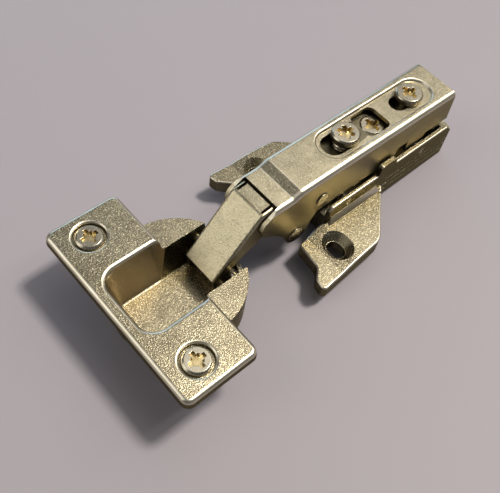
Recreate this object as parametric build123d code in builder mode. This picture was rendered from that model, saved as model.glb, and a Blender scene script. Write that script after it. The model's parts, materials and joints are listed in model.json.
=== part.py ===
from build123d import *
import os
from math import atan2, cos, degrees, hypot, radians, sin

# Concealed cup hinge, lying open. Millimetres.
# Origin: on the mounting plate's base, midway between its two slotted holes.
# +X runs along the arm towards the cup, +Y across it, +Z up from the base.
# In this pose the cup's flange is parallel to the base; closing turns the cup from +X towards +Z.

# ---- driving dimensions ----

# fits and sheet
running_gap = 0.05        # radial, pins in the eyes that turn on them
press_gap = 0.02          # radial, pins in the holes that hold them
side_gap = 0.3            # between faces that slide past each other
arm_sheet = 1.1
link_sheet = 1.0

# linkage pivots, side view
front_pin_x = 7.7         # arm pin of the inner link
front_pin_z = 7.0
rear_pin_x = -0.1         # arm pin of the outer link
rear_pin_z = 16.0
cup_pin_outer_x = 31.0    # cup pin of the outer link
cup_pin_outer_z = 2.2
cup_pin_inner_x = 28.4    # cup pin of the inner link
cup_pin_inner_z = 6.2
arm_pin_d = 3.0
arm_pin_head_d = 4.6
arm_pin_head_t = 0.3
cup_pin_d = 2.5
cup_pin_outer_length = 24.0
cup_pin_inner_length = 20.2
open_pivot_play = 0.85    # travel of the front arm pin in the inner link's slot, each way
open_pivot_lift = 0.32    # clearance of that slot above and below the pin

# cup
cup_x = 41.1
boss_d = 34.8
boss_depth = 11.6
door_plane_z = 9.9        # underside of the flange, the face of the door
flange_t = 2.6
flange_length = 57.0
flange_rear = 1.9         # flange base behind the cup's axis
flange_front = 19.9       # flange base in front of the cup's axis
flange_corner_r = 2.4
flange_draft = 8.0        # degrees
flange_edge_r = 1.2
rim_rise = 0.1            # the boss's rim above the door's face
cup_floor_t = 1.0
mouth_half_width = 10.3
mouth_front = 16.3        # in front of the cup's axis
mouth_rear = 4.3          # behind the cup's axis
mouth_corner_r = 4.8
pocket_draft = 14.5       # degrees
floor_edge_r = 0.8
neck_half_width = 8.4
neck_draft = 8.4          # degrees
neck_reach = 2.0          # the neck's cut runs this far into the pocket
neck_wall_z = 5.0         # top of the low wall at the back of the neck
neck_wall_t = 1.2
cup_screw_share = 42.0 / 57.0  # the screws' spacing over the flange's length
cup_screw_offset = 11.0   # line of the screws in front of the cup's axis
cup_screw_head_d = 7.4
cup_screw_head_t = 1.4
cup_screw_head_rise = 0.1 # head above the flange
cup_screw_shank_d = 4.2
cup_screw_length = 10.4
cup_dimple_d = 8.4
cup_dimple_edge_r = 0.8
cup_recess_across = 4.6
dowel_d = 8.0
dowel_length = 10.6       # below the door's face
dowel_seat_depth = 0.5    # the dowel's top in its seat under the flange
dowel_neck_depth = 0.3     # the neck in the seat is thinner than the collar by this
dowel_collar_drop = 0.2   # the collar begins this far below the door's face
dowel_collar_length = 2.0
dowel_bore_d = 5.0
dowel_barbs = 3
dowel_barb_depth = 0.7
dowel_nose_length = 0.8
dowel_nose_step = 0.9

# outer link
outer_link_width = 11.4
outer_eye_r = 2.9
outer_cup_eye_r = 2.5
web_bend_x = 20.3         # bend of the web, top face
web_bend_z = 23.0
web_end_x = 34.4          # lower end of the web, top face
web_end_z = 7.0
cap_end_x = 16.7          # free edge of the cap over the arm's mouth
cap_end_z = 23.6
cap_slit_width = 0.8
cap_half_width = 4.1

# inner link
inner_link_width = 8.6
inner_cup_eye_r = 2.5
inner_arm_eye_wall = 1.2
gooseneck_heel_x = 1.6    # the back's start beside the arm pin
gooseneck_heel_z = 2.2
gooseneck_root_x = 2.4    # the belly's end beside the arm pin
gooseneck_root_z = 0.4
gooseneck_tip_x = 2.1     # half the width at the cup pin
gooseneck_tip_z = 1.3
inner_mouth_front = 4.0   # the hollow's open side, past the cup pin
inner_mouth_foot = 5.0
inner_mouth_rear = 7.0    # and past the arm pin
inner_mouth_heel = 6.0

# arm
arm_top_z = 24.9
arm_front_x = 15.8
arm_rear_x = -50.4
arm_front_half_width = 7.1
arm_rear_half_width = 7.5
arm_step_drop = 1.1       # the web's front section lies lower
arm_step_x = 11.0
arm_bend_r = 1.5
arm_lobe_r = 4.1
arm_wall_z = 11.6         # lower edge of the side walls along the sled
arm_tail_z = 14.6         # lower edge at the rear end
arm_notch_z = 15.8        # top of the notch behind the plate's cheeks
ear_x = 21.2              # foremost point of the ears
track_depth = 0.7         # sunken racetrack in the web
track_front_x = -4.3
track_rear_x = -46.0
track_half_width = 5.0
track_draft = 25.0        # degrees
track_edge_r = 0.6
window_front_x = -18.8
window_rear_x = -27.3
window_half_width = 4.3
window_corner_r = 1.8
front_slot_x = -5.6
front_slot_width = 6.9
rear_slot_front_x = -31.6
rear_slot_rear_x = -41.6
rear_slot_width = 5.4

# adjusting screws
side_screw_x = -13.2
depth_cam_x = -24.7
clamp_screw_x = -38.2
screw_head_d = 7.7
screw_head_t = 1.8
screw_shank_d = 4.4
side_screw_shank_d = 6.0
side_screw_neck = 0.5     # shank that shows between the head and the web
side_screw_tip_z = 12.5
side_thread_pitch = 0.9
side_thread_depth = 0.3
side_thread_turns = 8
clamp_screw_tip_z = 15.0
cam_head_d = 6.9
cam_tip_z = 7.6
cam_shank_d = 4.0
screw_recess_across = 4.6
screw_recess_arm = 1.2
screw_recess_depth = 1.3

# sled, the inner channel that the arm rides on
sled_width = 11.6
sled_top_z = 21.8
sled_front_x = -4.6
sled_rear_x = -50.0
sled_collar_depth = 2.2
depth_travel_back = 2.0
depth_travel_front = 3.0
tilt_clearance = 0.35     # radial, screws that lean with the arm

# release lever
lever_pin_x = -46.6
lever_pin_z = 13.0
lever_pin_d = 2.4
lever_eye_r = 2.6
lever_width = 8.2
lever_spring_wire = 0.5
lever_spring_d = 3.4
lever_spring_turns = 4

# closing spring
closing_spring_t = 0.8
closing_spring_width = 7.2
closing_spring_leg = 10.3
closing_spring_free_leg = 4.4
closing_spring_bend_r = 1.9
closing_spring_bend = 160.0  # degrees

# mounting plate
plate_hole_spacing = 32.0
slot_r = 2.1
slot_travel = 1.5         # between the slot's two centres
sink_r = 4.15
sink_depth = 2.2
sink_draft = 42.0         # degrees
wing_t = 5.0
wing_edge_r = 0.5
wing_ramp_x = -1.0        # the wings' tops slope down from this line
wing_step_x = 4.3         # and run level again in front of this one
wing_step_drop = 0.9
wing_rear_x = -25.2
wing_tip_rear_x = -10.9
wing_tip_rear_y = 21.9
wing_tip_x = 12.1
wing_tip_y = 23.6
wing_corner_r = 5.0
wing_front_x = 7.5        # front edge beside the body
wing_front_y = 9.3
body_width = 18.4
body_front_x = -2.6
body_rear_x = -55.2
body_corner_r = 2.5
foot_width = 21.0         # sloped strip at the body's foot between the wings
foot_draft = 27.0         # degrees
foot_rear_x = -23.0
foot_groove_width = 0.5
foot_groove_depth = 0.4
rib_groove_h = 0.5        # grooves along the body's sides behind the wings
rib_groove_depth = 0.25
rib_pitch = 2.3
deck_z = 7.0
deck_t = 1.4
core_width = 9.4          # the middle channel underneath
side_core_width = 2.2
side_core_y = 7.0
deck_window_front_x = -34.5
deck_window_rear_x = -49.5
rail_t = 1.3
rail_z = 11.2
rear_rail_z = 12.4
rail_slope = 4.4          # the rails slope down over this length at the rear end
rear_end_z = 9.0
rail_edge_r = 0.4
rail_nose_r = 1.6
rear_pad = 5.8            # the rails are thicker over this length at the rear end
lip_length = 4.2          # inner lips run forward from the thick ends
lip_t = 0.8
lip_rise = 0.5
cheek_z = 14.6
cheek_front_x = -21.6
cheek_rear_x = -28.4
rod_z = 9.2
rod_d = 2.2
hook_rod_x = -10.0
catch_rod_x = -40.4

# ---- derived ----

flange_top_z = door_plane_z + flange_t
boss_bottom_z = door_plane_z - boss_depth
rim_z = door_plane_z + rim_rise
cup_screw_spacing = flange_length * cup_screw_share
rail_end_x = body_rear_x + rail_slope
rear_pad_x = body_rear_x + rear_pad
lip_front_x = rear_pad_x + lip_length
cup_floor_z = boss_bottom_z + cup_floor_t
cup_screw_x = cup_x + cup_screw_offset
cup_screw_seat_z = flange_top_z + cup_screw_head_rise - cup_screw_head_t
track_z = arm_top_z - track_depth
front_web_under_z = arm_top_z - arm_step_drop - arm_sheet
sled_foot_z = deck_z + 0.05
rod_slot_r = rod_d / 2 + 0.1


def side_view(y=0.0):
    """Plane of the side view, X to the right and Z up, at the given y."""
    return Plane(origin=(0, y, 0), x_dir=(1, 0, 0), z_dir=(0, -1, 0))


def capsule(x, z, x2, z2, r):
    """Rounded bar between two centres in the current sketch."""
    with Locations(((x + x2) / 2, (z + z2) / 2)):
        SlotCenterToCenter(hypot(x2 - x, z2 - z), 2 * r, rotation=degrees(atan2(z2 - z, x2 - x)))


def toward(point, centre, distance):
    """The point moved by a distance towards a centre."""
    reach = hypot(centre[0] - point[0], centre[1] - point[1])
    return (
        point[0] + (centre[0] - point[0]) * distance / reach,
        point[1] + (centre[1] - point[1]) * distance / reach,
    )


def screw_recess(across, arm_width, bars):
    """Star of crossed bars with shorter flutes between them, in the current sketch."""
    for bar in range(bars):
        Rectangle(across, arm_width, rotation=180 * bar / bars)
        Rectangle(across * 0.7, arm_width * 0.6, rotation=180 * (bar + 0.5) / bars)


# ---- cup: die-cast, boss and flange in one ----

with BuildPart() as cup:
    with BuildSketch(Plane.XY.offset(boss_bottom_z)):
        with Locations((cup_x, 0)):
            Circle(boss_d / 2)
    extrude(amount=rim_z - boss_bottom_z)
    chamfer(cup.edges().sort_by(Axis.Z)[0], 0.8)
    with BuildSketch(Plane.XY.offset(door_plane_z)) as flange_base:
        with Locations((cup_x + (flange_front - flange_rear) / 2, 0)):
            RectangleRounded(flange_front + flange_rear, flange_length, flange_corner_r)
    extrude(amount=flange_t, taper=flange_draft)
    # pocket: walls that lean in to the floor
    with BuildSketch(Plane.XY.offset(flange_top_z)):
        with Locations((cup_x + (mouth_front - mouth_rear) / 2, 0)):
            RectangleRounded(mouth_front + mouth_rear, 2 * mouth_half_width, mouth_corner_r)
    extrude(amount=cup_floor_z - flange_top_z, taper=pocket_draft, mode=Mode.SUBTRACT)
    fillet(cup.faces().sort_by(Axis.Z)[-1].edges(), flange_edge_r)
    fillet(cup.faces().sort_by(lambda f: abs(f.center().Z - cup_floor_z))[0].edges(), floor_edge_r)
    # neck: open to the back for the two links, above a low wall that keeps the boss's curve
    with BuildPart(mode=Mode.SUBTRACT):
        neck_length = boss_d / 2 + neck_reach + 1
        with BuildSketch(Plane.XY.offset(rim_z)):
            with Locations((cup_x + neck_reach - neck_length / 2, 0)):
                Rectangle(neck_length, 2 * neck_half_width)
        extrude(amount=cup_floor_z - rim_z, taper=neck_draft)
        with BuildSketch(Plane.XY.offset(cup_floor_z)):
            with Locations((cup_x, 0)):
                Circle(boss_d)
                Circle(boss_d / 2 - neck_wall_t, mode=Mode.SUBTRACT)
        extrude(amount=neck_wall_z - cup_floor_z, mode=Mode.SUBTRACT)
    # cup pins: drilled right through both side blocks
    with BuildSketch(side_view()):
        with Locations((cup_pin_outer_x, cup_pin_outer_z), (cup_pin_inner_x, cup_pin_inner_z)):
            Circle(cup_pin_d / 2 + press_gap)
    extrude(amount=boss_d / 2, both=True, mode=Mode.SUBTRACT)
    # screw holes with a dimple round each head, and a seat for each dowel's neck below
    with BuildSketch(Plane.XY.offset(flange_top_z)):
        with Locations((cup_screw_x, cup_screw_spacing / 2), (cup_screw_x, -cup_screw_spacing / 2)):
            Circle(cup_dimple_d / 2)
    extrude(amount=cup_screw_seat_z - flange_top_z, mode=Mode.SUBTRACT)
    dimple_rims = cup.edges().filter_by(GeomType.CIRCLE).group_by(Axis.Z)[-1]
    fillet(dimple_rims.filter_by(lambda e: abs(e.radius - cup_dimple_d / 2) < 0.01), cup_dimple_edge_r)
    with BuildSketch(Plane.XY.offset(flange_top_z)):
        with Locations((cup_screw_x, cup_screw_spacing / 2), (cup_screw_x, -cup_screw_spacing / 2)):
            Circle(cup_screw_shank_d / 2 + 0.2)
    extrude(amount=-flange_t, mode=Mode.SUBTRACT)
    with BuildSketch(Plane.XY.offset(door_plane_z)):
        with Locations((cup_screw_x, cup_screw_spacing / 2), (cup_screw_x, -cup_screw_spacing / 2)):
            Circle(dowel_d / 2 + running_gap)
    extrude(amount=dowel_seat_depth, mode=Mode.SUBTRACT)

cup.part.label = "cup"

# ---- cup screws and dowels, one of each at both ends of the flange ----


def make_cup_screw(y):
    """Flat-headed screw seated in the dimple."""
    with BuildPart(Plane.XY) as screw:
        with BuildSketch(Plane.XZ.offset(-y)):
            with BuildLine():
                Polyline(
                    (cup_screw_x, cup_screw_seat_z - cup_screw_length),
                    (cup_screw_x + cup_screw_shank_d / 2 - 0.7, cup_screw_seat_z - cup_screw_length),
                    (cup_screw_x + cup_screw_shank_d / 2, cup_screw_seat_z - cup_screw_length + 1.2),
                    (cup_screw_x + cup_screw_shank_d / 2, cup_screw_seat_z),
                    (cup_screw_x + cup_screw_head_d / 2, cup_screw_seat_z),
                    (cup_screw_x + cup_screw_head_d / 2, cup_screw_seat_z + cup_screw_head_t - 0.5),
                    (cup_screw_x + cup_screw_head_d / 2 - 0.6, cup_screw_seat_z + cup_screw_head_t),
                    (cup_screw_x, cup_screw_seat_z + cup_screw_head_t),
                    close=True,
                )
            make_face()
        revolve(axis=Axis((cup_screw_x, y, 0), (0, 0, 1)))
        with BuildSketch(Plane.XY.offset(cup_screw_seat_z + cup_screw_head_t)):
            with Locations((cup_screw_x, y)):
                screw_recess(cup_recess_across, screw_recess_arm, 2)
        extrude(amount=-screw_recess_depth + 0.2, mode=Mode.SUBTRACT)
    return screw.part


def make_dowel(y):
    """Press-in dowel seated under the flange: neck, plain collar, barbs and a blind bore."""
    axis_x = cup_screw_x
    outer_x = cup_screw_x + dowel_d / 2
    neck_x = outer_x - dowel_neck_depth
    collar_top_z = door_plane_z - dowel_collar_drop
    collar_foot_z = collar_top_z - dowel_collar_length
    barb_pitch = (dowel_length - dowel_collar_drop - dowel_collar_length - dowel_nose_length) / dowel_barbs
    with BuildPart() as dowel:
        with BuildSketch(Plane.XZ.offset(-y)):
            with BuildLine():
                outline = [
                    (axis_x, door_plane_z + dowel_seat_depth),
                    (neck_x, door_plane_z + dowel_seat_depth),
                    (neck_x, collar_top_z),
                    (outer_x, collar_top_z),
                ]
                for barb in range(dowel_barbs):
                    top = collar_foot_z - barb * barb_pitch
                    outline.append((outer_x, top))
                    outline.append((outer_x - dowel_barb_depth, top - 0.4))
                    outline.append((outer_x - dowel_barb_depth, top - barb_pitch * 0.45))
                outline.append((outer_x, collar_foot_z - dowel_barbs * barb_pitch))
                outline.append((outer_x - dowel_nose_step, door_plane_z - dowel_length))
                outline.append((axis_x, door_plane_z - dowel_length))
                Polyline(*outline, close=True)
            make_face()
        revolve(axis=Axis((axis_x, y, 0), (0, 0, 1)))
        with BuildSketch(Plane.XY.offset(door_plane_z + dowel_seat_depth)):
            with Locations((axis_x, y)):
                Circle(dowel_bore_d / 2)
        extrude(amount=-(dowel_length + dowel_seat_depth - 0.9), mode=Mode.SUBTRACT)
    return dowel.part


cup_screw_left = make_cup_screw(-cup_screw_spacing / 2)
cup_screw_left.label = "cup_screw_left"
cup_screw_right = make_cup_screw(cup_screw_spacing / 2)
cup_screw_right.label = "cup_screw_right"
cup_dowel_left = make_dowel(-cup_screw_spacing / 2)
cup_dowel_left.label = "cup_dowel_left"
cup_dowel_right = make_dowel(cup_screw_spacing / 2)
cup_dowel_right.label = "cup_dowel_right"

# ---- cup pins ----

with BuildPart() as cup_pin_outer:
    with BuildSketch(side_view()):
        with Locations((cup_pin_outer_x, cup_pin_outer_z)):
            Circle(cup_pin_d / 2)
    extrude(amount=cup_pin_outer_length / 2, both=True)
    chamfer(cup_pin_outer.edges().filter_by(GeomType.CIRCLE), 0.25)

cup_pin_outer.part.label = "cup_pin_outer"

with BuildPart() as cup_pin_inner:
    with BuildSketch(side_view()):
        with Locations((cup_pin_inner_x, cup_pin_inner_z)):
            Circle(cup_pin_d / 2)
    extrude(amount=cup_pin_inner_length / 2, both=True)
    chamfer(cup_pin_inner.edges().filter_by(GeomType.CIRCLE), 0.25)

cup_pin_inner.part.label = "cup_pin_inner"

# ---- outer link: a folded channel, its web bent over the arm's mouth as a cap ----

web_angle = atan2(web_bend_z - web_end_z, web_end_x - web_bend_x)
web_inward = (-link_sheet * sin(web_angle), -link_sheet * cos(web_angle))
web_slope = (web_bend_z - web_end_z) / (web_end_x - web_bend_x)
neck_step_r = 18.0        # about the rear arm pin, past the reach of the arm's front edge
neck_step_x = rear_pin_x + neck_step_r * cos(radians(9))
neck_step_z = rear_pin_z + neck_step_r * sin(radians(9))

with BuildPart() as outer_link:
    with BuildSketch(side_view()):
        with BuildLine():
            Polyline(
                (rear_pin_x, rear_pin_z - outer_eye_r),
                (12.0, 12.9),
                (19.3, 13.8),
                (24.0, 11.4),
                (28.2, 8.7),
                (30.3, 7.3),
                (cup_pin_outer_x - 1.2, cup_pin_outer_z),
                (cup_pin_outer_x + outer_cup_eye_r - 0.1, cup_pin_outer_z),
                (web_end_x, web_end_z),
                (web_bend_x, web_bend_z),
                (cap_end_x, cap_end_z),
                (cap_end_x + 0.1, cap_end_z - link_sheet),
                (neck_step_x, neck_step_z),
                (rear_pin_x + neck_step_r - 2.0, rear_pin_z + 1.9),
                (rear_pin_x, rear_pin_z + outer_eye_r),
                close=True,
            )
        make_face()
        with Locations((rear_pin_x, rear_pin_z)):
            Circle(outer_eye_r)
        with Locations((cup_pin_outer_x, cup_pin_outer_z)):
            Circle(outer_cup_eye_r)
    extrude(amount=outer_link_width / 2, both=True)
    bend = outer_link.edges().filter_by(Axis.Y).group_by(
        lambda e: round(hypot(e.center().X - web_bend_x, e.center().Z - web_bend_z), 3)
    )[0]
    fillet(bend, 2.0)
    web_faces = outer_link.faces().filter_by(
        lambda f: f.normal_at().Z > 0.3 and f.center().X > cap_end_x and f.center().Z > web_end_z
    )
    fillet(web_faces.edges().filter_by(Axis.Y, reverse=True), 0.9)
    # hollow between the walls, under the web
    with BuildSketch(side_view()):
        with BuildLine():
            Polyline(
                (rear_pin_x - outer_eye_r - 1, rear_pin_z - 6),
                (web_end_x + 4, cup_pin_outer_z - 6),
                (web_end_x + 4 + web_inward[0], web_end_z + web_inward[1] - 4 * web_slope),
                (web_bend_x + web_inward[0] + 0.25, web_bend_z - link_sheet - 0.1),
                (cap_end_x - 0.5, cap_end_z - link_sheet + 0.05),
                (rear_pin_x - outer_eye_r - 1, cap_end_z - link_sheet),
                close=True,
            )
        make_face()
    extrude(amount=outer_link_width / 2 - link_sheet, both=True, mode=Mode.SUBTRACT)
    # relief slits at both sides of the cap
    with BuildSketch(Plane.XY.offset(web_bend_z - 2.2)):
        for side in (1, -1):
            slit_y = side * (cap_half_width + cap_slit_width / 2)
            with Locations(((cap_end_x + web_bend_x) / 2 - 1.0, slit_y)):
                Rectangle(web_bend_x - cap_end_x + 0.6, cap_slit_width)
    extrude(amount=4, mode=Mode.SUBTRACT)
    with BuildSketch(side_view()):
        with Locations((rear_pin_x, rear_pin_z)):
            Circle(arm_pin_d / 2 + running_gap)
        with Locations((cup_pin_outer_x, cup_pin_outer_z)):
            Circle(cup_pin_d / 2 + running_gap)
    extrude(amount=outer_link_width, both=True, mode=Mode.SUBTRACT)

outer_link.part.label = "outer_link"

# ---- inner link: gooseneck between the outer link's walls ----

inner_arm_eye_r = arm_pin_d / 2 + running_gap + inner_arm_eye_wall
gooseneck_back = [
    (front_pin_x - gooseneck_heel_x, front_pin_z + gooseneck_heel_z),
    (12.2, 16.0),
    (18.5, 19.5),
    (24.0, 15.2),
    (28.0, 10.7),
    (cup_pin_inner_x + gooseneck_tip_x, cup_pin_inner_z + gooseneck_tip_z),
]
gooseneck_belly = [
    (cup_pin_inner_x - gooseneck_tip_x, cup_pin_inner_z - gooseneck_tip_z),
    (25.2, 9.8),
    (22.5, 13.0),
    (18.2, 15.6),
    (14.0, 13.4),
    (front_pin_x + gooseneck_root_x, front_pin_z + gooseneck_root_z),
]
gooseneck_centre = (18.2, 6.0)
inner_web_t = link_sheet + 0.2

with BuildPart() as inner_link:
    with BuildSketch(side_view()):
        with BuildLine():
            Spline(*gooseneck_back)
            Line(gooseneck_back[-1], gooseneck_belly[0])
            Spline(*gooseneck_belly)
            Line(gooseneck_belly[-1], gooseneck_back[0])
        make_face()
        with Locations((cup_pin_inner_x, cup_pin_inner_z)):
            Circle(inner_cup_eye_r)
        capsule(
            front_pin_x - open_pivot_play, front_pin_z,
            front_pin_x + open_pivot_play, front_pin_z,
            inner_arm_eye_r,
        )
    extrude(amount=inner_link_width / 2, both=True)
    # two cheeks joined by a web over the gooseneck's back
    with BuildSketch(side_view()):
        with BuildLine():
            hollow = [toward(point, gooseneck_centre, inner_web_t) for point in gooseneck_back]
            Spline(*hollow)
            Polyline(
                hollow[-1],
                (cup_pin_inner_x + inner_mouth_front, cup_pin_inner_z - inner_mouth_foot),
                (front_pin_x - inner_mouth_rear, front_pin_z - inner_mouth_heel),
                (front_pin_x - inner_mouth_rear, front_pin_z),
                hollow[0],
            )
        make_face()
    extrude(amount=inner_link_width / 2 - inner_web_t, both=True, mode=Mode.SUBTRACT)
    with BuildSketch(side_view()):
        with Locations((cup_pin_inner_x, cup_pin_inner_z)):
            Circle(cup_pin_d / 2 + running_gap)
        capsule(
            front_pin_x - open_pivot_play, front_pin_z,
            front_pin_x + open_pivot_play, front_pin_z,
            arm_pin_d / 2 + open_pivot_lift,
        )
    extrude(amount=inner_link_width, both=True, mode=Mode.SUBTRACT)

inner_link.part.label = "inner_link"

# ---- arm: a folded channel that narrows towards the cup ----


def arm_half_width(x):
    """Half the arm's outer width at x."""
    share = (x - arm_rear_x) / (arm_front_x - arm_rear_x)
    return arm_rear_half_width + share * (arm_front_half_width - arm_rear_half_width)


with BuildPart() as arm:
    # side outline: ears and pin lobe in front, straight lower edge behind
    with BuildSketch(side_view()):
        with BuildLine():
            Polyline(
                (arm_rear_x, arm_top_z),
                (arm_step_x - 2.8, arm_top_z),
                (arm_step_x, arm_top_z - arm_step_drop),
                (arm_front_x + 0.6, arm_top_z - arm_step_drop),
                (18.8, 22.3),
                (20.4, 21.2),
                (ear_x, 19.2),
                (20.6, 16.7),
                (15.9, 13.2),
                (12.4, 9.8),
                (front_pin_x + 2.6, front_pin_z - 1.4),
                (front_pin_x - 3.6, front_pin_z - 1.2),
                (2.2, 9.0),
                (0.6, arm_wall_z),
                (cheek_rear_x - 0.8, arm_wall_z),
                (cheek_rear_x - 1.2, arm_notch_z),
                (cheek_rear_x - 5.2, arm_notch_z),
                (cheek_rear_x - 5.6, arm_wall_z + 0.4),
                (-40.4, arm_wall_z + 0.4),
                (-41.6, arm_tail_z),
                (arm_rear_x - 0.8, arm_tail_z),
                close=True,
            )
        make_face()
        with Locations((front_pin_x - 0.9, front_pin_z + 0.4)):
            Circle(arm_lobe_r)
    extrude(amount=arm_rear_half_width + 1, both=True)
    with BuildSketch(Plane.XY):
        with BuildLine():
            Polyline(
                (arm_rear_x - 2, arm_half_width(arm_rear_x - 2)),
                (ear_x + 1, arm_half_width(ear_x + 1)),
                (ear_x + 1, -arm_half_width(ear_x + 1)),
                (arm_rear_x - 2, -arm_half_width(arm_rear_x - 2)),
                close=True,
            )
        make_face()
    extrude(amount=arm_top_z + 5, mode=Mode.INTERSECT)
    step_edges = arm.edges().filter_by(Axis.Y).filter_by(
        lambda e: e.center().Z > arm_top_z - arm_step_drop - 0.1
        and arm_rear_x + 1 < e.center().X < arm_step_x + 0.5
    )
    fillet(step_edges, 2.4)
    web_faces = arm.faces().filter_by(
        lambda f: f.normal_at().Z > 0.5 and f.center().Z > arm_top_z - arm_step_drop - 0.2
    )
    fillet(web_faces.edges().filter_by(Axis.Y, reverse=True), arm_bend_r)
    # channel between the walls
    with BuildSketch(Plane.XY):
        with BuildLine():
            Polyline(
                (arm_rear_x - 3, arm_half_width(arm_rear_x - 3) - arm_sheet),
                (ear_x + 2, arm_half_width(ear_x + 2) - arm_sheet),
                (ear_x + 2, -arm_half_width(ear_x + 2) + arm_sheet),
                (arm_rear_x - 3, -arm_half_width(arm_rear_x - 3) + arm_sheet),
                close=True,
            )
        make_face()
    extrude(amount=front_web_under_z, mode=Mode.SUBTRACT)
    with BuildSketch(Plane.XY.offset(front_web_under_z - 0.5)):
        with BuildLine():
            Polyline(
                (arm_rear_x - 3, arm_half_width(arm_rear_x - 3) - arm_sheet),
                (arm_step_x - 3.2, arm_half_width(arm_step_x - 3.2) - arm_sheet),
                (arm_step_x - 3.2, -arm_half_width(arm_step_x - 3.2) + arm_sheet),
                (arm_rear_x - 3, -arm_half_width(arm_rear_x - 3) + arm_sheet),
                close=True,
            )
        make_face()
    extrude(amount=arm_step_drop + 0.5, mode=Mode.SUBTRACT)
    # open mouth between the ears
    with BuildSketch(Plane.XY.offset(arm_top_z - 6)):
        with Locations((arm_front_x + 5, 0)):
            Rectangle(10, 2 * (arm_half_width(arm_front_x) - arm_sheet))
    extrude(amount=8, mode=Mode.SUBTRACT)
    # sunken racetrack, pressed down through the sheet
    track_centre_x = (track_front_x + track_rear_x) / 2
    track_length = track_front_x - track_rear_x
    with BuildSketch(Plane.XY.offset(track_z)):
        with Locations((track_centre_x, 0)):
            SlotOverall(track_length, 2 * track_half_width)
    extrude(amount=-arm_sheet)
    with BuildSketch(Plane.XY.offset(arm_top_z)):
        with Locations((track_centre_x, 0)):
            SlotOverall(track_length, 2 * track_half_width)
    extrude(amount=-track_depth, taper=track_draft, mode=Mode.SUBTRACT)
    rim = arm.edges().filter_by(
        lambda e: abs(e.center().Z - arm_top_z) < 0.01 and abs(e.center().Y) < track_half_width + 0.1
    )
    fillet(rim.filter_by(lambda e: track_rear_x - 0.1 < e.center().X < track_front_x + 0.1), track_edge_r)
    # openings over the three screws
    with BuildSketch(Plane.XY.offset(arm_top_z + 1)):
        with Locations(((window_front_x + window_rear_x) / 2, 0)):
            RectangleRounded(window_front_x - window_rear_x, 2 * window_half_width, window_corner_r)
        with Locations(((front_slot_x + window_front_x - 2) / 2, 0)):
            SlotOverall(front_slot_x - window_front_x + 2, front_slot_width)
        with Locations(((rear_slot_front_x + rear_slot_rear_x) / 2, 0)):
            SlotOverall(rear_slot_front_x - rear_slot_rear_x, rear_slot_width)
    extrude(amount=-4.5, mode=Mode.SUBTRACT)
    with BuildSketch(side_view()):
        with Locations((front_pin_x, front_pin_z), (rear_pin_x, rear_pin_z)):
            Circle(arm_pin_d / 2 + press_gap)
    extrude(amount=arm_rear_half_width + 2, both=True, mode=Mode.SUBTRACT)

arm.part.label = "arm"

# ---- arm pins: upset to a flat head on both sides of the arm ----


def make_arm_pin(x, z, head_d):
    """Straight pin through both walls, with a head outside each."""
    half = arm_half_width(x)
    with BuildPart() as pin:
        with BuildSketch(side_view()):
            with Locations((x, z)):
                Circle(arm_pin_d / 2)
        extrude(amount=half + arm_pin_head_t, both=True)
        for side in (1, -1):
            head_plane = Plane(origin=(0, side * (half + 0.05), 0), x_dir=(1, 0, 0), z_dir=(0, side, 0))
            with BuildSketch(head_plane):
                with Locations((x, -side * z)):
                    Circle(head_d / 2)
            extrude(amount=arm_pin_head_t)
    return pin.part


arm_pin_front = make_arm_pin(front_pin_x, front_pin_z, arm_pin_head_d)
arm_pin_front.label = "arm_pin_front"
arm_pin_rear = make_arm_pin(rear_pin_x, rear_pin_z, arm_pin_head_d - 0.6)
arm_pin_rear.label = "arm_pin_rear"

# ---- closing spring: a hairpin strip between the arm's web and the inner link's heel ----

spring_leg_z = front_web_under_z - side_gap - closing_spring_t / 2
with BuildPart() as closing_spring:
    with BuildSketch(side_view()):
        with BuildLine():
            spring_bend_x = rear_pin_x + 7.8
            leg = Line((spring_bend_x - closing_spring_leg, spring_leg_z), (spring_bend_x, spring_leg_z))
            turn = JernArc(leg @ 1, leg % 1, closing_spring_bend_r, -closing_spring_bend)
            Line(turn @ 1, (turn @ 1) + (turn % 1) * closing_spring_free_leg)
        trace(line_width=closing_spring_t)
    extrude(amount=closing_spring_width / 2, both=True)

closing_spring.part.label = "closing_spring"

# ---- sled: the inner channel, clipped to the plate, that carries the arm ----

sled_length = sled_front_x - sled_rear_x
sled_mid_x = (sled_front_x + sled_rear_x) / 2

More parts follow.
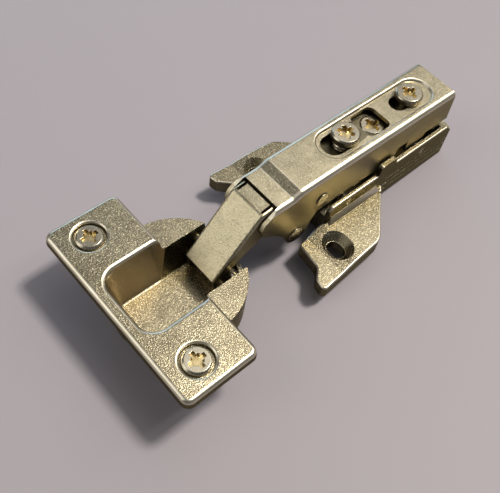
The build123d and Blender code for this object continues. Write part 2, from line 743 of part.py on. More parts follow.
with BuildPart() as sled:
    with BuildSketch(Plane.XY.offset(sled_foot_z)):
        with Locations((sled_mid_x, 0)):
            Rectangle(sled_length, sled_width)
    extrude(amount=sled_top_z - sled_foot_z)
    fillet(sled.edges().filter_by(Axis.X).group_by(Axis.Z)[-1], 1.2)
    with BuildSketch(Plane.XY.offset(sled_foot_z)):
        with Locations((sled_mid_x, 0)):
            Rectangle(sled_length + 2, sled_width - 2 * arm_sheet)
    extrude(amount=sled_top_z - arm_sheet - sled_foot_z, mode=Mode.SUBTRACT)
    # each wall's foot is slotted over the plate's two rods: open to the front, and downwards behind
    with BuildSketch(side_view()):
        capsule(hook_rod_x - depth_travel_front, rod_z, sled_front_x + 3, rod_z, rod_slot_r)
        with BuildLine():
            Polyline(
                (sled_front_x + 1, sled_foot_z - 1),
                (sled_front_x - 1.8, sled_foot_z - 1),
                (sled_front_x - 0.8, rod_z),
                (sled_front_x + 1, rod_z),
                close=True,
            )
        make_face()
        capsule(catch_rod_x - depth_travel_front, rod_z, catch_rod_x + depth_travel_back, rod_z, rod_slot_r)
        with Locations((catch_rod_x + (depth_travel_back - depth_travel_front) / 2, rod_z - 2)):
            Rectangle(depth_travel_back + depth_travel_front + 2 * rod_slot_r, 4)
    extrude(amount=sled_width, both=True, mode=Mode.SUBTRACT)
    # collars pressed down round the side screw and the clamp screw
    with BuildSketch(Plane.XY.offset(sled_top_z - arm_sheet)):
        with Locations((side_screw_x, 0)):
            Circle(side_screw_shank_d / 2 + tilt_clearance + arm_sheet)
        with Locations((clamp_screw_x, 0)):
            Circle(screw_shank_d / 2 + running_gap + arm_sheet)
    extrude(amount=-sled_collar_depth)
    with BuildSketch(Plane.XY.offset(sled_top_z)):
        with Locations((side_screw_x, 0)):
            Circle(side_screw_shank_d / 2 + tilt_clearance)
        with Locations((clamp_screw_x, 0)):
            Circle(screw_shank_d / 2 + running_gap)
        with Locations((depth_cam_x, 0)):
            Circle(cam_head_d / 2 + running_gap)
    extrude(amount=-6, mode=Mode.SUBTRACT)
    with BuildSketch(side_view()):
        with Locations((lever_pin_x, lever_pin_z)):
            Circle(lever_pin_d / 2 + press_gap)
    extrude(amount=sled_width, both=True, mode=Mode.SUBTRACT)

sled.part.label = "sled"

# ---- side adjusting screw: its head and collar grip the arm's web at the slot ----

side_head_z = track_z + side_screw_neck
side_shank_x = side_screw_x + side_screw_shank_d / 2
with BuildPart() as side_screw:
    with BuildSketch(Plane.XZ):
        with BuildLine():
            outline = [
                (side_screw_x, side_head_z + screw_head_t),
                (side_screw_x + screw_head_d / 2 - 0.4, side_head_z + screw_head_t),
                (side_screw_x + screw_head_d / 2, side_head_z + screw_head_t - 0.4),
                (side_screw_x + screw_head_d / 2, side_head_z),
                (side_shank_x, side_head_z),
            ]
            # thread as rings: a flat crest, then a groove
            for turn in range(side_thread_turns):
                crest_z = side_head_z - side_thread_pitch * (turn + 0.3)
                outline.append((side_shank_x, crest_z))
                outline.append((side_shank_x - side_thread_depth, crest_z - side_thread_pitch * 0.35))
                outline.append((side_shank_x, crest_z - side_thread_pitch * 0.7))
            outline.append((side_shank_x, side_screw_tip_z + 0.6))
            outline.append((side_shank_x - 0.5, side_screw_tip_z))
            outline.append((side_screw_x, side_screw_tip_z))
            Polyline(*outline, close=True)
        make_face()
    revolve(axis=Axis((side_screw_x, 0, 0), (0, 0, 1)))
    with BuildSketch(Plane.XY.offset(side_head_z + screw_head_t)):
        with Locations((side_screw_x, 0)):
            screw_recess(screw_recess_across, screw_recess_arm, 3)
    extrude(amount=-screw_recess_depth, mode=Mode.SUBTRACT)

side_screw.part.label = "side_screw"

# ---- depth cam: head in the sled's web, eccentric tip in the plate's cross slot ----

cam_head_z = sled_top_z + 0.2
with BuildPart() as depth_cam:
    with BuildSketch(Plane.XZ):
        with BuildLine():
            Polyline(
                (depth_cam_x, cam_tip_z),
                (depth_cam_x + cam_shank_d / 2, cam_tip_z),
                (depth_cam_x + cam_shank_d / 2, sled_top_z - 2.6),
                (depth_cam_x + cam_head_d / 2, sled_top_z - 2.0),
                (depth_cam_x + cam_head_d / 2, cam_head_z - 0.4),
                (depth_cam_x + cam_head_d / 2 - 0.4, cam_head_z),
                (depth_cam_x, cam_head_z),
                close=True,
            )
        make_face()
    revolve(axis=Axis((depth_cam_x, 0, 0), (0, 0, 1)))
    with BuildSketch(Plane.XY.offset(cam_head_z)):
        with Locations((depth_cam_x, 0)):
            screw_recess(screw_recess_across, screw_recess_arm, 2)
    extrude(amount=-screw_recess_depth, mode=Mode.SUBTRACT)

depth_cam.part.label = "depth_cam"

# ---- clamp screw: holds the arm's rear end down on the sled ----

clamp_head_z = track_z + side_gap
with BuildPart() as clamp_screw:
    with BuildSketch(Plane.XZ):
        with BuildLine():
            Polyline(
                (clamp_screw_x, clamp_screw_tip_z),
                (clamp_screw_x + screw_shank_d / 2 - 0.5, clamp_screw_tip_z),
                (clamp_screw_x + screw_shank_d / 2, clamp_screw_tip_z + 0.6),
                (clamp_screw_x + screw_shank_d / 2, clamp_head_z),
                (clamp_screw_x + screw_head_d / 2, clamp_head_z),
                (clamp_screw_x + screw_head_d / 2, clamp_head_z + screw_head_t - 0.4),
                (clamp_screw_x + screw_head_d / 2 - 0.4, clamp_head_z + screw_head_t),
                (clamp_screw_x, clamp_head_z + screw_head_t),
                close=True,
            )
        make_face()
    revolve(axis=Axis((clamp_screw_x, 0, 0), (0, 0, 1)))
    with BuildSketch(Plane.XY.offset(clamp_head_z + screw_head_t)):
        with Locations((clamp_screw_x, 0)):
            screw_recess(screw_recess_across, screw_recess_arm, 2)
    extrude(amount=-screw_recess_depth, mode=Mode.SUBTRACT)

clamp_screw.part.label = "clamp_screw"

# ---- release lever: its nose hooks under the plate's rear rod, its tongue sticks out behind ----

nose_top_z = rod_z - rod_d / 2 - 0.1
nose_tip_x = catch_rod_x + depth_travel_back + 1.2
lever_heel_x = catch_rod_x - depth_travel_front - rod_d / 2 - 0.6

with BuildPart() as release_lever:
    with BuildSketch(side_view()):
        with Locations((lever_pin_x, lever_pin_z)):
            Circle(lever_eye_r)
        with BuildLine():
            Polyline(
                (lever_pin_x + lever_eye_r, lever_pin_z),
                (lever_heel_x, nose_top_z + 1.2),
                (lever_heel_x + 0.6, nose_top_z),
                (nose_tip_x, nose_top_z),
                (nose_tip_x - 0.6, nose_top_z - 0.9),
                (lever_heel_x - 1.6, nose_top_z - 0.9),
                (lever_pin_x - 2.6, nose_top_z + 0.6),
                (body_rear_x + 0.8, 7.6),
                (body_rear_x + 0.2, 8.8),
                (body_rear_x + 2.0, 10.4),
                (lever_pin_x - lever_eye_r + 0.4, lever_pin_z + 1.2),
                (lever_pin_x, lever_pin_z + lever_eye_r),
                close=True,
            )
        make_face()
    extrude(amount=lever_width / 2, both=True)
    with BuildSketch(side_view()):
        with Locations((lever_pin_x, lever_pin_z)):
            Circle(lever_pin_d / 2 + running_gap)
    extrude(amount=lever_width, both=True, mode=Mode.SUBTRACT)

release_lever.part.label = "release_lever"

with BuildPart() as lever_pin:
    with BuildSketch(side_view()):
        with Locations((lever_pin_x, lever_pin_z)):
            Circle(lever_pin_d / 2)
    extrude(amount=sled_width / 2, both=True)

lever_pin.part.label = "lever_pin"

# ---- lever spring: a coil between the sled's web and the lever's back ----

lever_spring_x = lever_pin_x - 0.6
lever_spring_foot_z = lever_pin_z + lever_eye_r + 0.3
lever_spring_head_z = sled_top_z - arm_sheet - 0.3
with BuildPart() as lever_spring:
    coil_r = (lever_spring_d - lever_spring_wire) / 2
    coil_height = lever_spring_head_z - lever_spring_foot_z - lever_spring_wire
    with BuildLine(Plane(origin=(lever_spring_x, 0, lever_spring_foot_z + lever_spring_wire / 2))):
        coil = Helix(pitch=coil_height / lever_spring_turns, height=coil_height, radius=coil_r)
    with BuildSketch(Plane(origin=coil @ 0, z_dir=coil % 0)):
        Circle(lever_spring_wire / 2)
    sweep(path=coil, is_frenet=True)

lever_spring.part.label = "lever_spring"

# ---- rods: pressed through the plate's rails, hooked by the sled in front and the lever behind ----


def make_rod(x):
    """Rod across the plate's rails."""
    with BuildPart() as rod:
        with BuildSketch(side_view()):
            with Locations((x, rod_z)):
                Circle(rod_d / 2)
        extrude(amount=body_width / 2, both=True)
    return rod.part


hook_rod = make_rod(hook_rod_x)
hook_rod.label = "hook_rod"
catch_rod = make_rod(catch_rod_x)
catch_rod.label = "catch_rod"

# ---- mounting plate: die-cast, two wings and a railed body, cored out underneath ----

inner_y = body_width / 2 - rail_t
pad_y = sled_width / 2 + 0.5
tongue_y = lever_width / 2 + 0.8

with BuildPart() as mounting_plate:
    # body: a block as high as the cheeks, cut down to the rails' side profile
    with BuildSketch() as body:
        with Locations(((body_front_x + body_rear_x) / 2, 0)):
            Rectangle(body_front_x - body_rear_x, body_width)
        fillet(body.vertices().filter_by(lambda v: v.X < body_rear_x + 1), body_corner_r)
    extrude(amount=cheek_z)
    with BuildSketch(side_view()):
        with BuildLine():
            Polyline(
                (body_front_x + 1, rail_z),
                (cheek_front_x, rail_z),
                (cheek_front_x - 0.5, cheek_z + 1),
                (body_front_x + 1, cheek_z + 1),
                close=True,
            )
        make_face()
        with BuildLine():
            Polyline(
                (cheek_rear_x + 0.5, cheek_z + 1),
                (cheek_rear_x, rear_rail_z),
                (rail_end_x, rear_rail_z),
                (body_rear_x + 1, rear_end_z),
                (body_rear_x - 1, rear_end_z),
                (body_rear_x - 1, cheek_z + 1),
                close=True,
            )
        make_face()
    extrude(amount=body_width, both=True, mode=Mode.SUBTRACT)
    front_corners = mounting_plate.edges().filter_by(Axis.Y).filter_by(
        lambda e: e.center().X > body_front_x - 0.1 and e.center().Z > rail_z - 0.1
    )
    fillet(front_corners, rail_nose_r)
    cheek_corners = mounting_plate.edges().filter_by(Axis.Y).filter_by(
        lambda e: e.center().Z > cheek_z - 0.1
    )
    fillet(cheek_corners, 2 * rail_edge_r)
    # channel between the rails, narrower between the thick rear ends and at the lever's tongue
    with BuildSketch(Plane.XY.offset(deck_z)):
        with Locations(((body_front_x + rear_pad_x) / 2 + 1, 0)):
            Rectangle(body_front_x - rear_pad_x + 2, 2 * inner_y)
        with Locations(((rear_pad_x + body_rear_x + 2.5) / 2, 0)):
            Rectangle(rear_pad_x - body_rear_x - 2.5 + 1, 2 * pad_y)
        with Locations((body_rear_x, 0)):
            Rectangle(8, 2 * tongue_y)
    extrude(amount=cheek_z, mode=Mode.SUBTRACT)
    rail_edges = mounting_plate.edges().filter_by(Axis.X).filter_by(
        lambda e: abs(e.center().Z - rail_z) < 0.01 and abs(e.center().Y) > inner_y - 0.1
    )
    fillet(rail_edges, rail_edge_r)
    rear_rail_edges = mounting_plate.edges().filter_by(Axis.X).filter_by(
        lambda e: abs(e.center().Z - rear_rail_z) < 0.01 and abs(e.center().Y) > body_width / 2 - 0.1
    )
    fillet(rear_rail_edges, rail_edge_r)
    for side in (1, -1):
        with BuildSketch(Plane.XY.offset(deck_z - 0.5)):
            with Locations(((lip_front_x + rear_pad_x) / 2, side * (pad_y + lip_t / 2))):
                Rectangle(lip_front_x - rear_pad_x, lip_t)
        extrude(amount=rear_rail_z + lip_rise - deck_z + 0.5)
    # wings with rounded corners, their tops sloping down to a lower front
    with BuildPart():
        with BuildSketch() as wings:
            with BuildLine():
                Polyline(
                    (wing_rear_x, 0),
                    (wing_rear_x, body_width / 2 - 0.2),
                    (wing_tip_rear_x, wing_tip_rear_y),
                    (wing_tip_x, wing_tip_y),
                    (wing_tip_x - 0.6, wing_tip_y - 3.5),
                    (wing_front_x + 0.9, wing_front_y + 7.9),
                    (wing_front_x, wing_front_y),
                    (body_front_x, wing_front_y - 1.3),
                    (body_front_x, 0),
                )
                mirror(about=Plane.XZ)
            make_face()
            rear_tips = wings.vertices().filter_by(lambda v: abs(v.Y) > wing_tip_rear_y - 1 and v.X < 0)
            fillet(rear_tips, wing_corner_r)
            front_tips = wings.vertices().filter_by(lambda v: v.X > wing_tip_x - 1)
            fillet(front_tips, 1.1)
            waists = wings.vertices().filter_by(
                lambda v: abs(abs(v.Y) - wing_front_y - 7.9) < 0.1 and v.X > wing_front_x
            )
            fillet(waists, 2.5)
            inner_corners = wings.vertices().filter_by(
                lambda v: abs(abs(v.Y) - wing_front_y) < 0.1 and v.X > wing_front_x - 0.1
            )
            fillet(inner_corners, 1.0)
        extrude(amount=wing_t)
        with BuildSketch(side_view()):
            with BuildLine():
                Polyline(
                    (wing_ramp_x, wing_t),
                    (wing_step_x, wing_t - wing_step_drop),
                    (wing_tip_x + 2, wing_t - wing_step_drop),
                    (wing_tip_x + 2, wing_t + 1),
                    (wing_ramp_x, wing_t + 1),
                    close=True,
                )
            make_face()
        extrude(amount=2 * wing_tip_y, both=True, mode=Mode.SUBTRACT)
        tops = faces().filter_by(lambda f: f.normal_at().Z > 0.9)
        fillet(tops.edges().filter_by(lambda e: abs(e.center().Y) > 1), wing_edge_r)
    # sloped foot beside each rail, with a groove along it
    with BuildSketch(Plane.XY.offset(wing_t - foot_groove_depth)):
        with Locations(((body_front_x + foot_rear_x) / 2, 0)):
            Rectangle(body_front_x - foot_rear_x, foot_width)
    extrude(amount=deck_z - wing_t + foot_groove_depth, taper=foot_draft)
    for side in (1, -1):
        groove_y = side * (foot_width + foot_groove_width) / 2
        with BuildSketch(Plane.XY.offset(wing_t)):
            with Locations(((body_front_x + foot_rear_x) / 2, groove_y)):
                Rectangle(body_front_x - foot_rear_x, foot_groove_width)
        extrude(amount=-foot_groove_depth, mode=Mode.SUBTRACT)
    # grooves along the sides behind the wings
    rib_length = wing_rear_x - body_rear_x - body_corner_r - 0.5
    for side in (1, -1):
        with BuildSketch(side_view(side * body_width / 2)):
            for rib in (-1, 0, 1):
                with Locations((wing_rear_x - rib_length / 2 - 0.3, wing_t + rib * rib_pitch)):
                    SlotOverall(rib_length, rib_groove_h)
        extrude(amount=rib_groove_depth, both=True, mode=Mode.SUBTRACT)
    # slotted and countersunk screw holes
    with BuildSketch(Plane.XY.offset(wing_t)):
        with Locations((0, plate_hole_spacing / 2), (0, -plate_hole_spacing / 2)):
            SlotCenterToCenter(slot_travel, 2 * sink_r, rotation=90)
    extrude(amount=-sink_depth, taper=sink_draft, mode=Mode.SUBTRACT)
    with BuildSketch():
        with Locations((0, plate_hole_spacing / 2), (0, -plate_hole_spacing / 2)):
            SlotCenterToCenter(slot_travel, 2 * slot_r, rotation=90)
    extrude(amount=wing_t, mode=Mode.SUBTRACT)
    # cored out underneath: one channel down the middle, one under each rail
    core_length = body_front_x - body_rear_x - 5
    core_x = (body_front_x + body_rear_x) / 2
    with BuildSketch():
        with Locations((core_x, 0)):
            Rectangle(core_length, core_width)
        with Locations((core_x, side_core_y), (core_x, -side_core_y)):
            Rectangle(core_length, side_core_width)
    extrude(amount=deck_z - deck_t, mode=Mode.SUBTRACT)
    # window in the deck for the lever's nose, and a cross slot for the depth cam's tip
    with BuildSketch(Plane.XY.offset(deck_z)):
        with Locations(((deck_window_front_x + deck_window_rear_x) / 2, 0)):
            Rectangle(deck_window_front_x - deck_window_rear_x, core_width)
    extrude(amount=-deck_t, mode=Mode.SUBTRACT)
    with BuildSketch(side_view()):
        with Locations((hook_rod_x, rod_z), (catch_rod_x, rod_z)):
            Circle(rod_d / 2 + press_gap)
    extrude(amount=body_width, both=True, mode=Mode.SUBTRACT)

mounting_plate.part.label = "mounting_plate"

os.makedirs("parts", exist_ok=True)
pieces = [
    cup.part, cup_screw_left, cup_screw_right, cup_dowel_left, cup_dowel_right,
    cup_pin_outer.part, cup_pin_inner.part, outer_link.part, inner_link.part,
    arm.part, arm_pin_front, arm_pin_rear, closing_spring.part, sled.part,
    side_screw.part, depth_cam.part, clamp_screw.part, release_lever.part,
    lever_pin.part, lever_spring.part, hook_rod, catch_rod, mounting_plate.part,
]
for piece in pieces:
    export_step(piece, f"parts/{piece.label}.step")
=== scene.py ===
import json
import math

import bmesh
import bpy
from mathutils import Matrix, Quaternion, Vector


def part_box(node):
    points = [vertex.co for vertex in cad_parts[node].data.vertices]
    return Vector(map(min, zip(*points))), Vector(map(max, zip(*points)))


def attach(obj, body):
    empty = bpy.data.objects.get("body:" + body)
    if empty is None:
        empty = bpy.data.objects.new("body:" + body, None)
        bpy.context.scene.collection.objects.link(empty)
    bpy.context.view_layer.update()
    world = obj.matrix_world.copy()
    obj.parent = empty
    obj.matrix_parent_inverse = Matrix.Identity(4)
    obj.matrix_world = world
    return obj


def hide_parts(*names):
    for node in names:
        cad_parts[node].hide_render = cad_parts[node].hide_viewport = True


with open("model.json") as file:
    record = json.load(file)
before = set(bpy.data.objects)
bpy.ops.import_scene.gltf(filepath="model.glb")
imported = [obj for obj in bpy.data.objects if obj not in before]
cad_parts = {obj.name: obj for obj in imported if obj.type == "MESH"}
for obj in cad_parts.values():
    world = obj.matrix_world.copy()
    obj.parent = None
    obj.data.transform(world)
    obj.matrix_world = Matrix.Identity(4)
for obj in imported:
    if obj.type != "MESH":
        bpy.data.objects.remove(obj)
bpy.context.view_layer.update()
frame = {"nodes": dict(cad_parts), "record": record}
nodes = frame["nodes"]
mm = 0.001
print("frame loaded")


# shader maths: each arithmetic step on a signal adds one Math node
class Signal:
    def __init__(self, shader, socket):
        self.shader = shader
        self.socket = socket

    def step(self, operation, first, second):
        made = self.shader.add("ShaderNodeMath", {"operation": operation}, {0: first, 1: second})
        return Signal(self.shader, made.outputs[0])

    def __add__(self, other):
        return self.step("ADD", self, other)

    def __radd__(self, other):
        return self.step("ADD", other, self)

    def __sub__(self, other):
        return self.step("SUBTRACT", self, other)

    def __rsub__(self, other):
        return self.step("SUBTRACT", other, self)

    def __mul__(self, other):
        return self.step("MULTIPLY", self, other)

    def __rmul__(self, other):
        return self.step("MULTIPLY", other, self)


class Shader:
    def __init__(self, name):
        self.material = bpy.data.materials.new(name)
        self.material.use_nodes = True
        self.tree = self.material.node_tree
        self.surface = self.tree.nodes["Principled BSDF"]
        self.coordinates = self.add("ShaderNodeTexCoord").outputs

    # settings are set before the inputs, because they can change which inputs there are
    def add(self, kind, settings=None, inputs=None):
        made = self.tree.nodes.new(kind)
        for key, value in (settings or {}).items():
            setattr(made, key, value)
        for key, value in (inputs or {}).items():
            self.feed(made.inputs[key], value)
        return made

    def feed(self, socket, value):
        source = getattr(value, "socket", value)
        if isinstance(source, bpy.types.NodeSocket):
            self.tree.links.new(source, socket)
        else:
            socket.default_value = source

    def noise(self, scale, detail, roughness):
        place = self.coordinates["Object"]
        inputs = {"Vector": place, "Scale": scale, "Detail": detail, "Roughness": roughness}
        return Signal(self, self.add("ShaderNodeTexNoise", None, inputs).outputs["Fac"])

    # 1 on a level face, 0 on an upright one
    def level(self):
        upward = self.add("ShaderNodeSeparateXYZ", None, {"Vector": self.coordinates["Normal"]}).outputs["Z"]
        size = self.add("ShaderNodeMath", {"operation": "ABSOLUTE"}, {0: upward})
        return Signal(self, size.outputs[0])

    # from 0 below low to 1 above high
    def between(self, signal, low, high):
        inputs = {"Value": signal, "From Min": low, "From Max": high}
        made = self.add("ShaderNodeMapRange", {"interpolation_type": "SMOOTHSTEP"}, inputs)
        return Signal(self, made.outputs["Result"])

    def blend(self, share, first, second):
        # a Mix node has its colours at inputs 6 and 7 and its mixed colour at output 2
        inputs = {"Factor": share, 6: first, 7: second}
        return self.add("ShaderNodeMix", {"data_type": "RGBA"}, inputs).outputs[2]

    def bump(self, height, distance):
        raised = self.add("ShaderNodeBump", None, {"Height": height, "Distance": distance, "Strength": 1.0})
        self.feed(self.surface.inputs["Normal"], raised.outputs["Normal"])

    def set(self, **values):
        for key, value in values.items():
            self.feed(self.surface.inputs[key.replace("_", " ")], value)
        return self.material


# plated metal: cloudy tone, raised grains that catch the light, pits, and painted shade on upright walls, which
# some finishes lighten into a painted reflection; fine and coarse are a noise's detail and roughness, and each
# range says where its layer starts and where it is full
plating = {
    "fine": (2.0, 0.6), "coarse": (3.0, 0.55), "pitScale": 0.41, "pitHeight": 0.2,
    "cloudRange": (0.3, 0.7), "glintRange": (0.56, 0.68), "pitRange": (0.32, 0.46), "paintedWallRange": (0.15, 0.6),
}


def plated(name, look):
    shader = Shader(name)
    grain = shader.noise(look["grainScale"], *plating["fine"])
    pits = shader.noise(look["grainScale"] * plating["pitScale"], *plating["fine"])
    cloud = shader.noise(look["cloudScale"], *plating["coarse"])
    glint = shader.between(grain, *plating["glintRange"])
    pitted = 1 - shader.between(pits, *plating["pitRange"])
    upright = 1 - shader.between(shader.level(), *plating["paintedWallRange"])
    tone = shader.blend(shader.between(cloud, *plating["cloudRange"]), look["dark"], look["light"])
    tone = shader.blend(glint * look["glint"], tone, look["glintColour"])
    tone = shader.blend(pitted * look["pit"], tone, look["pitColour"])
    # painted shade: upright walls take the wall colour, darker than the tone; a lighter wall colour is a
    # painted reflection
    tone = shader.blend(upright * look["paintedWallShare"], tone, look["paintedWallColour"])
    rough = look["rough"] + glint * look["glintRough"]
    shader.bump(grain + pits * plating["pitHeight"], look["bump"])
    return shader.set(Base_Color=tone, Metallic=1.0, Roughness=rough, Specular_Tint=look["grazing"])


castLook = {
    "dark": (0.28, 0.245, 0.165, 1), "light": (0.40, 0.355, 0.24, 1), "grazing": (0.55, 0.52, 0.42, 1),
    "glint": 0.8, "glintColour": (0.88, 0.81, 0.61, 1), "pit": 0.5, "pitColour": (0.20, 0.175, 0.115, 1),
    "grainScale": 3300.0, "cloudScale": 140.0, "rough": 0.27, "glintRough": 0.25, "bump": 0.00010,
    "paintedWallShare": 0.9, "paintedWallColour": (0.115, 0.10, 0.065, 1),
}
sheetLook = {
    "dark": (0.38, 0.34, 0.235, 1), "light": (0.53, 0.475, 0.33, 1), "grazing": (0.55, 0.52, 0.42, 1),
    "glint": 0.8, "glintColour": (0.86, 0.80, 0.62, 1), "pit": 0.5, "pitColour": (0.27, 0.24, 0.16, 1),
    "grainScale": 3300.0, "cloudScale": 160.0, "rough": 0.28, "glintRough": 0.28, "bump": 0.00008,
    "paintedWallShare": 0.75, "paintedWallColour": (0.18, 0.155, 0.095, 1),
}
screwLook = {
    **sheetLook, "dark": (0.42, 0.385, 0.30, 1), "light": (0.56, 0.52, 0.41, 1), "glint": 0.2,
    "glintColour": (0.78, 0.73, 0.60, 1), "pit": 0.1, "rough": 0.27, "glintRough": 0.1, "bump": 0.00001,
    "paintedWallShare": 0.4,
}
finishes = {
    "die_cast_zinc": castLook,
    "plate_cast": {
        **castLook, "dark": (0.25, 0.22, 0.145, 1), "light": (0.34, 0.30, 0.20, 1), "glint": 0.6, "pit": 0.35,
        "bump": 0.00007,
    },
    # painted shade: a darker copy of the cast finish for the wings' front slopes
    "ramp_painted_shade": {**castLook, "dark": (0.15, 0.13, 0.085, 1), "light": (0.24, 0.21, 0.14, 1), "glint": 0.6},
    # painted reflection: the pocket's walls take a lighter, golden wall colour
    "pocket_painted_reflection": {**castLook, "paintedWallColour": (0.47, 0.375, 0.24, 1), "rough": 0.36},
    "pressed_steel": sheetLook,
    # painted reflection: the arm's walls are lighter than other sheet walls, standing in for the wing seen in
    # them
    "arm_steel_painted_wall_reflection": {**sheetLook, "paintedWallColour": (0.25, 0.215, 0.135, 1)},
    "link_steel": {
        **sheetLook, "dark": (0.48, 0.43, 0.295, 1), "light": (0.59, 0.53, 0.365, 1),
        "paintedWallColour": (0.14, 0.12, 0.075, 1),
    },
    # painted shade: a darker copy of the sheet finish for the sled, which sits under the arm
    "shaded_steel": {
        **sheetLook, "dark": (0.15, 0.13, 0.085, 1), "light": (0.22, 0.195, 0.13, 1), "glint": 0.35,
        "paintedWallColour": (0.09, 0.075, 0.045, 1),
    },
    "bright_steel": screwLook,
    # painted highlight: a brighter, smoother copy of the sheet finish for bevels and rounded rims
    "painted_highlight_edge": {
        **sheetLook, "dark": (0.66, 0.61, 0.48, 1), "light": (0.78, 0.73, 0.60, 1), "pit": 0.0, "rough": 0.33,
        "glintRough": 0.08, "bump": 0.00002, "paintedWallShare": 0.5, "paintedWallColour": (0.40, 0.36, 0.26, 1),
    },
    "spring_steel": {
        **sheetLook, "dark": (0.24, 0.22, 0.19, 1), "light": (0.34, 0.32, 0.28, 1), "bump": 0.00001,
        "glint": 0.2, "paintedWallShare": 0.0,
    },
    # painted reflection: a warm gold tone for the screws' recesses
    "painted_recess_reflection": {
        **screwLook, "dark": (0.50, 0.39, 0.19, 1), "light": (0.72, 0.60, 0.35, 1), "grainScale": 3000.0,
        "cloudScale": 700.0, "glintColour": (0.95, 0.90, 0.72, 1), "paintedWallShare": 0.0,
    },
}
plastic = {
    "dark": (0.25, 0.25, 0.19, 1), "light": (0.33, 0.33, 0.26, 1), "grain": (2600.0, 3.0, 0.6),
    "bump": 0.00003, "rough": 0.5, "grainRough": 0.15,
}


def moulded(name, look):
    shader = Shader(name)
    grain = shader.noise(*look["grain"])
    shader.bump(grain, look["bump"])
    tone = shader.blend(grain, look["dark"], look["light"])
    return shader.set(Base_Color=tone, Roughness=look["rough"] + grain * look["grainRough"])


materials = {name: plated(name, look) for name, look in finishes.items()}
materials["dowel_plastic"] = moulded("dowel_plastic", plastic)
print("materials made")


def selectOnly(piece):
    bpy.ops.object.select_all(action="DESELECT")
    piece.select_set(True)
    bpy.context.view_layer.objects.active = piece


def applyModifier(piece, kind, **settings):
    made = piece.modifiers.new(kind.lower(), kind)
    for key, value in settings.items():
        setattr(made, key, value)
    selectOnly(piece)
    bpy.ops.object.modifier_apply(modifier=made.name)


bodyOf = {node: body for body, members in frame["record"]["behaviour"]["bodies"].items() for node in members}
slotOf = {part["node"]: part["material_slot"] for part in frame["record"]["subparts"]}


# an edge between two broad flat faces stays crisp, however small its angle
crease = {"area": 2 * mm * mm, "angle": math.radians(3)}


def creaseFlats(piece):
    work = bmesh.new()
    work.from_mesh(piece.data)
    for edge in work.edges:
        if len(edge.link_faces) == 2 and min(face.calc_area() for face in edge.link_faces) > crease["area"]:
            if edge.calc_face_angle() > crease["angle"]:
                edge.smooth = False
    work.to_mesh(piece.data)
    work.free()


# a piece's materials: its own finish, then its edges' painted highlight or its recess's painted reflection,
# then its pocket's painted reflection or its slopes' painted shade
paintedLightSlot = 1
paintedReflectionAndShadeSlot = 2

# rounded rims above a height get a painted highlight: narrow faces that neither lie level nor stand upright
rounded = {"low": 0.15, "high": 0.985, "lean": 0.2}
sinkY = 16


def paintRimHighlights(piece, rim):
    for face in piece.data.polygons:
        x, y, z = (coordinate / mm for coordinate in face.center)
        broad = face.area > rim["broad"] * mm * mm and abs(face.normal.x) > rounded["lean"]
        inSink = math.hypot(x, abs(y) - sinkY) < rim.get("sink", 0)
        if z > rim["above"] and rounded["low"] < face.normal.z < rounded["high"] and not broad and not inSink:
            face.material_index = paintedLightSlot


# a merged copy of a CAD node with its sharp edges broken, which stands for the node
def dressed(node, look):
    piece = bpy.data.objects.new(node + "_finished", nodes[node].data.copy())
    bpy.context.scene.collection.objects.link(piece)
    piece.data.materials.clear()
    piece.data.materials.append(materials[look.get("finish", slotOf[node])])
    if "edgeHighlightFinish" in look:
        piece.data.materials.append(materials[look["edgeHighlightFinish"]])
    selectOnly(piece)
    bpy.ops.object.mode_set(mode="EDIT")
    bpy.ops.mesh.select_all(action="SELECT")
    bpy.ops.mesh.remove_doubles(threshold=look["merge"] * mm)
    bpy.ops.mesh.dissolve_limited(angle_limit=math.radians(look["flat"]))
    bpy.ops.object.mode_set(mode="OBJECT")
    if look["edge"]:
        applyModifier(
            piece, "BEVEL", width=look["edge"] * mm, segments=look["segments"], limit_method="ANGLE",
            angle_limit=math.radians(look["sharp"]), use_clamp_overlap=True,
            material=paintedLightSlot if "edgeHighlightFinish" in look else -1,
        )
    selectOnly(piece)
    bpy.ops.object.shade_smooth_by_angle(angle=math.radians(look["smooth"]))
    creaseFlats(piece)
    if "rim" in look:
        paintRimHighlights(piece, look["rim"])
    applyModifier(piece, "WEIGHTED_NORMAL", mode="FACE_AREA", weight=100, keep_sharp=True)
    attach(piece, bodyOf[node])
    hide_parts(node)
    return piece


plain = {"merge": 0.002, "flat": 0.5, "edge": 0.12, "segments": 2, "sharp": 35, "smooth": 40}
# looks whose bevels and rounded rims take the painted highlight finish
highlightedEdges = {**plain, "edgeHighlightFinish": "painted_highlight_edge"}
screws = ["side_screw", "depth_cam", "clamp_screw", "cup_screw_left", "cup_screw_right"]
pieceLooks = {
    **dict.fromkeys(screws, {**plain, "edge": 0.08}),
    "cup": {**highlightedEdges, "edge": 0.18, "rim": {"above": 10.9, "broad": 1000}},
    "mounting_plate": {
        **highlightedEdges, "edge": 0.15, "finish": "plate_cast", "rim": {"above": 3.4, "broad": 3, "sink": 5.4},
    },
    "arm": {**highlightedEdges, "edge": 0.16, "finish": "arm_steel_painted_wall_reflection", "rim": {"above": 22.5, "broad": 3}},
    "outer_link": {**highlightedEdges, "edge": 0.2, "finish": "link_steel"},
    "sled": {**plain, "finish": "shaded_steel"},
    "lever_spring": {**plain, "edge": 0},
}
pieces = {}
for node in sorted(nodes):
    pieces[node] = dressed(node, pieceLooks.get(node, plain))
print("pieces dressed", sum(len(piece.data.polygons) for piece in pieces.values()))

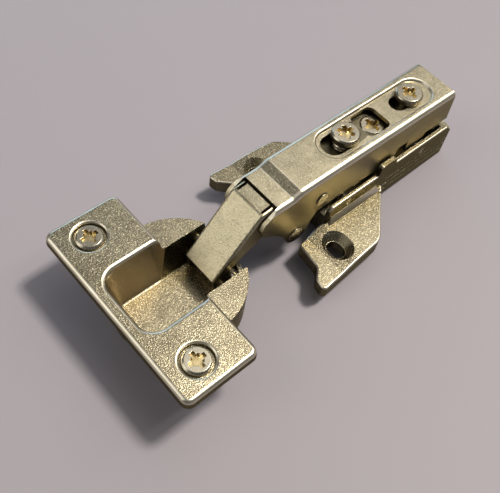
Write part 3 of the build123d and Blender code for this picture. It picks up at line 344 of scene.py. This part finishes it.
# the walls and floor of each screw's recess are painted gold, a painted warm reflection
recess = {"radius": 2.45, "top": 0.1, "bottom": 1.5}
for node in screws:
    low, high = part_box(node)
    axis = (low + high) / 2
    pieces[node].data.materials.append(materials["painted_recess_reflection"])
    for face in pieces[node].data.polygons:
        reach = math.hypot(face.center.x - axis.x, face.center.y - axis.y)
        drop = high.z - face.center.z
        if reach < recess["radius"] * mm and recess["top"] * mm < drop < recess["bottom"] * mm:
            face.material_index = paintedLightSlot

# the pocket's walls are painted warmer and lighter than the cup's outside, a painted reflection
pocket = {"halfWidth": 10.6, "rear": 34.0, "front": 58.2, "floor": -0.6, "top": 12.3, "upward": 0.02}
pieces["cup"].data.materials.append(materials["pocket_painted_reflection"])
for face in pieces["cup"].data.polygons:
    x, y, z = (coordinate / mm for coordinate in face.center)
    within = pocket["rear"] < x < pocket["front"] and abs(y) < pocket["halfWidth"]
    inside = within and pocket["floor"] < z < pocket["top"] and face.normal.z > pocket["upward"]
    if inside and face.material_index == 0:
        face.material_index = paintedReflectionAndShadeSlot

# the wings' front slopes get painted shade, darker than their tops
ramp = {"rear": -1.5, "lean": 0.03, "level": 0.8}
pieces["mounting_plate"].data.materials.append(materials["ramp_painted_shade"])
for face in pieces["mounting_plate"].data.polygons:
    leans = face.normal.x > ramp["lean"] and face.normal.z > ramp["level"]
    if face.center.x > ramp["rear"] * mm and leans and face.material_index == 0:
        face.material_index = paintedReflectionAndShadeSlot

# camera
shot = {
    "place": (0.098285, 0.069527, 0.159883),
    "right": (-0.7487, 0.6555, 0.0987),
    "up": (-0.5081, -0.6632, 0.5496),
    "back": (0.4257, 0.3613, 0.8296),
    "lens": 51.35,
    "sensorWidth": 36.0,
    "nearest": 0.01,
    "farthest": 20,
}
cameraData = bpy.data.cameras.new("camera")
cameraData.lens = shot["lens"]
cameraData.sensor_width = shot["sensorWidth"]
cameraData.clip_start = shot["nearest"]
cameraData.clip_end = shot["farthest"]
camera = bpy.data.objects.new("camera", cameraData)
axes = Matrix((shot["right"], shot["up"], shot["back"])).transposed()
camera.matrix_world = Matrix.Translation(shot["place"]) @ axes.to_4x4()
bpy.context.scene.collection.objects.link(camera)
bpy.context.scene.camera = camera

# floor, leaning a little: it meets the plate's rear end and leaves the cup room to tilt down
floor = {"rearX": -0.0552, "slope": -0.055, "size": 30.0, "colour": (0.325, 0.302, 0.332, 1), "rough": 0.6}
lean = -math.atan(floor["slope"])
bpy.ops.object.select_all(action="DESELECT")
bpy.ops.mesh.primitive_plane_add(size=floor["size"], location=(floor["rearX"], 0, 0), rotation=(0, lean, 0))
floorPlane = bpy.context.object
floorPlane.name = "floor"
floorPaint = Shader("floorPaint").set(Base_Color=floor["colour"], Roughness=floor["rough"])
floorPlane.data.materials.append(floorPaint)

# soft studio light: a dim room, a warm key high over the arm's rear end, and four panels
room = {"colour": (0.40, 0.41, 0.44, 1), "strength": 0.25}
world = bpy.data.worlds.new("world")
bpy.context.scene.world = world
world.use_nodes = True
background = world.node_tree.nodes["Background"]
background.inputs["Color"].default_value = room["colour"]
background.inputs["Strength"].default_value = room["strength"]

key = {"from": (-0.47, 0.17, 0.97), "strength": 2.75, "softness": 10, "colour": (1.0, 0.93, 0.84)}
bpy.ops.object.light_add(type="SUN", location=key["from"])
sun = bpy.context.object
sun.name = "key"
sun.data.energy = key["strength"]
sun.data.angle = math.radians(key["softness"])
sun.data.color = key["colour"]
sun.rotation_euler = (-sun.location).to_track_quat("-Z", "Y").to_euler()

lamps = {
    "strip": {
        "from": (-0.45, 0.26, 0.60), "at": (-0.45, 0, 0), "width": 0.80, "height": 0.05, "turn": 0,
        "power": 0.7, "colour": (1.0, 0.96, 0.90),
    },
    "canopy": {
        "from": (-0.45, -0.01, 0.60), "at": (-0.45, -0.01, 0), "width": 0.84, "height": 0.66, "turn": -25,
        "power": 1.85, "colour": (1.0, 0.95, 0.88),
    },
    "front": {
        "from": (0.52, -0.27, 0.36), "at": (0.02, 0, 0), "width": 0.40, "height": 0.60, "turn": 0,
        "power": 1.15, "colour": (1.0, 0.96, 0.88),
    },
    "cool": {
        "from": (-0.25, -0.62, 0.20), "at": (0, 0, 0), "width": 0.50, "height": 0.30, "turn": 0,
        "power": 1.0, "colour": (0.55, 0.76, 1.0),
    },
}
for name, lamp in lamps.items():
    bpy.ops.object.light_add(type="AREA", location=lamp["from"])
    light = bpy.context.object
    light.name = name
    light.data.shape = "RECTANGLE"
    light.data.size = lamp["width"]
    light.data.size_y = lamp["height"]
    light.data.energy = lamp["power"]
    light.data.color = lamp["colour"]
    aim = (Vector(lamp["at"]) - light.location).to_track_quat("-Z", "Y")
    light.rotation_euler = (aim @ Quaternion((0, 0, 1), math.radians(lamp["turn"]))).to_euler()
print("stage set")

bpy.context.scene.view_settings.view_transform = "Standard"
